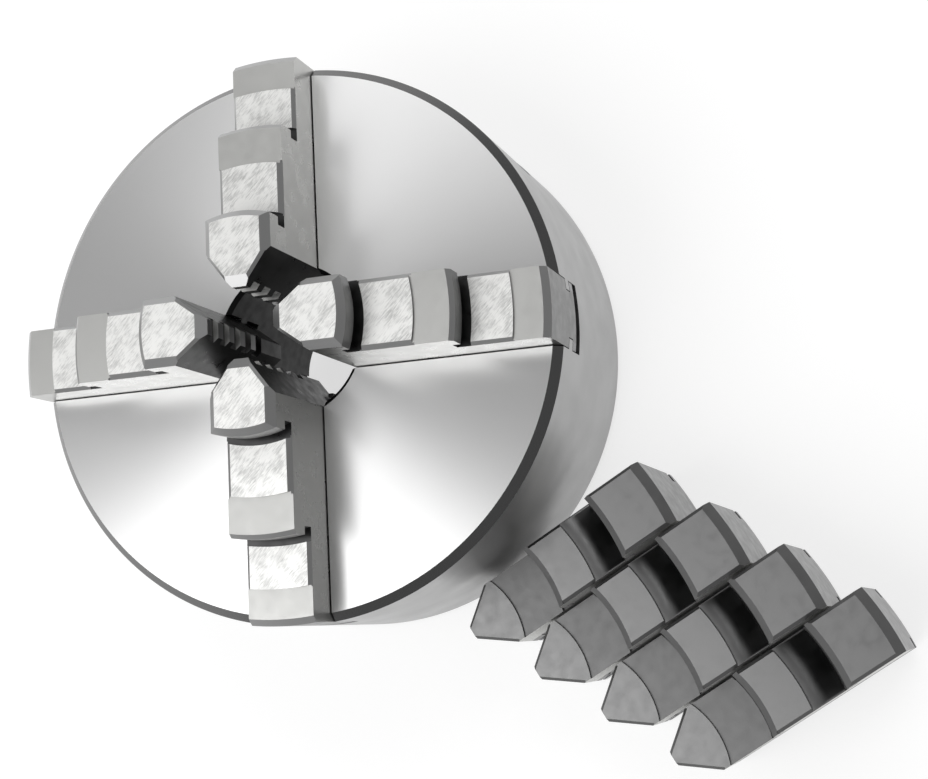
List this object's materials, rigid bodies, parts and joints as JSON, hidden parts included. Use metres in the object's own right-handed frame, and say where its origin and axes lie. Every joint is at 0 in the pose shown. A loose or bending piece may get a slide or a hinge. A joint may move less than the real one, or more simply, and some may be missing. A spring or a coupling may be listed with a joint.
{
  "type": "lathe chuck",
  "caption": "Self-centring scroll chuck for a lathe with stepped jaws in radial slots, driven together by a scroll plate and bevel pinions, and a row of spare reversed jaws beside it.",
  "frame": {"origin": "centre of the chuck's back face, on its axis, in the plane that the chuck and the spare jaws stand on", "axes": "+Z along the chuck's axis, out of its face; +X out through the first key socket, midway between jaw 1 and jaw 2"},
  "size_m": [0.16, 0.2597, 0.0974],
  "materials": {
    "turned_body_steel": "fine turned face, smooth turned side",
    "ground_jaw_steel": "hardened and ground, lapped pads",
    "hardened_jaw_steel": "hardened, satin ground flanks, darker step tops",
    "scroll_steel": "oiled machined steel",
    "pinion_steel": "oiled ground steel",
    "screw_steel": "black oxide"
  },
  "bodies": {
    "chuck": {"chuck_body": "turned_body_steel", "back_cover": "turned_body_steel", "cover_screw_1": "screw_steel", "cover_screw_2": "screw_steel", "cover_screw_3": "screw_steel", "cover_screw_4": "screw_steel", "cover_screw_5": "screw_steel", "cover_screw_6": "screw_steel", "pinion_screw_1": "screw_steel", "pinion_screw_2": "screw_steel"},
    "scroll": {"scroll_plate": "scroll_steel"},
    "pinion_1": {"pinion_1": "pinion_steel"},
    "pinion_2": {"pinion_2": "pinion_steel"},
    "jaw_1": {"jaw_1": "ground_jaw_steel"},
    "jaw_2": {"jaw_2": "ground_jaw_steel"},
    "jaw_3": {"jaw_3": "ground_jaw_steel"},
    "jaw_4": {"jaw_4": "ground_jaw_steel"},
    "outside_jaw_1": {"outside_jaw_1": "hardened_jaw_steel"},
    "outside_jaw_2": {"outside_jaw_2": "hardened_jaw_steel"},
    "outside_jaw_3": {"outside_jaw_3": "hardened_jaw_steel"},
    "outside_jaw_4": {"outside_jaw_4": "hardened_jaw_steel"}
  },
  "joints": [
    {"name": "scroll_spin", "type": "hinge", "parent": "chuck", "child": "scroll", "pos_m": [0, 0, 0.045], "axis": [0, 0, 1], "range_deg": [-1080, 360]},
    {"name": "jaw_1_slide", "type": "slide", "parent": "chuck", "child": "jaw_1", "axis": [0.7071, -0.7071, 0], "range_m": [-0.00651, 0.01951]},
    {"name": "jaw_2_slide", "type": "slide", "parent": "chuck", "child": "jaw_2", "axis": [0.7071, 0.7071, 0], "range_m": [-0.00651, 0.01951]},
    {"name": "jaw_3_slide", "type": "slide", "parent": "chuck", "child": "jaw_3", "axis": [-0.7071, 0.7071, 0], "range_m": [-0.00651, 0.01951]},
    {"name": "jaw_4_slide", "type": "slide", "parent": "chuck", "child": "jaw_4", "axis": [-0.7071, -0.7071, 0], "range_m": [-0.00651, 0.01951]},
    {"name": "pinion_1_spin", "type": "hinge", "parent": "chuck", "child": "pinion_1", "pos_m": [0.07, 0, 0.0297], "axis": [1, 0, 0], "range_deg": [-2485, 7453]},
    {"name": "pinion_2_spin", "type": "hinge", "parent": "chuck", "child": "pinion_2", "pos_m": [-0.07, 0, 0.0297], "axis": [-1, 0, 0], "range_deg": [-2485, 7453]},
    {"name": "outside_jaw_1_lift", "type": "slide", "parent": "chuck", "child": "outside_jaw_1", "axis": [0, 0, 1], "range_m": [0, 0.12]},
    {"name": "outside_jaw_2_lift", "type": "slide", "parent": "chuck", "child": "outside_jaw_2", "axis": [0, 0, 1], "range_m": [0, 0.12]},
    {"name": "outside_jaw_3_lift", "type": "slide", "parent": "chuck", "child": "outside_jaw_3", "axis": [0, 0, 1], "range_m": [0, 0.12]},
    {"name": "outside_jaw_4_lift", "type": "slide", "parent": "chuck", "child": "outside_jaw_4", "axis": [0, 0, 1], "range_m": [0, 0.12]}
  ],
  "couplings": [
    {"joint": "jaw_1_slide", "follows": "scroll_spin", "m_per_rad": -0.0010345},
    {"joint": "jaw_2_slide", "follows": "scroll_spin", "m_per_rad": -0.0010345},
    {"joint": "jaw_3_slide", "follows": "scroll_spin", "m_per_rad": -0.0010345},
    {"joint": "jaw_4_slide", "follows": "scroll_spin", "m_per_rad": -0.0010345},
    {"joint": "pinion_1_spin", "follows": "scroll_spin", "ratio": -6.9},
    {"joint": "pinion_2_spin", "follows": "scroll_spin", "ratio": -6.9}
  ]
}
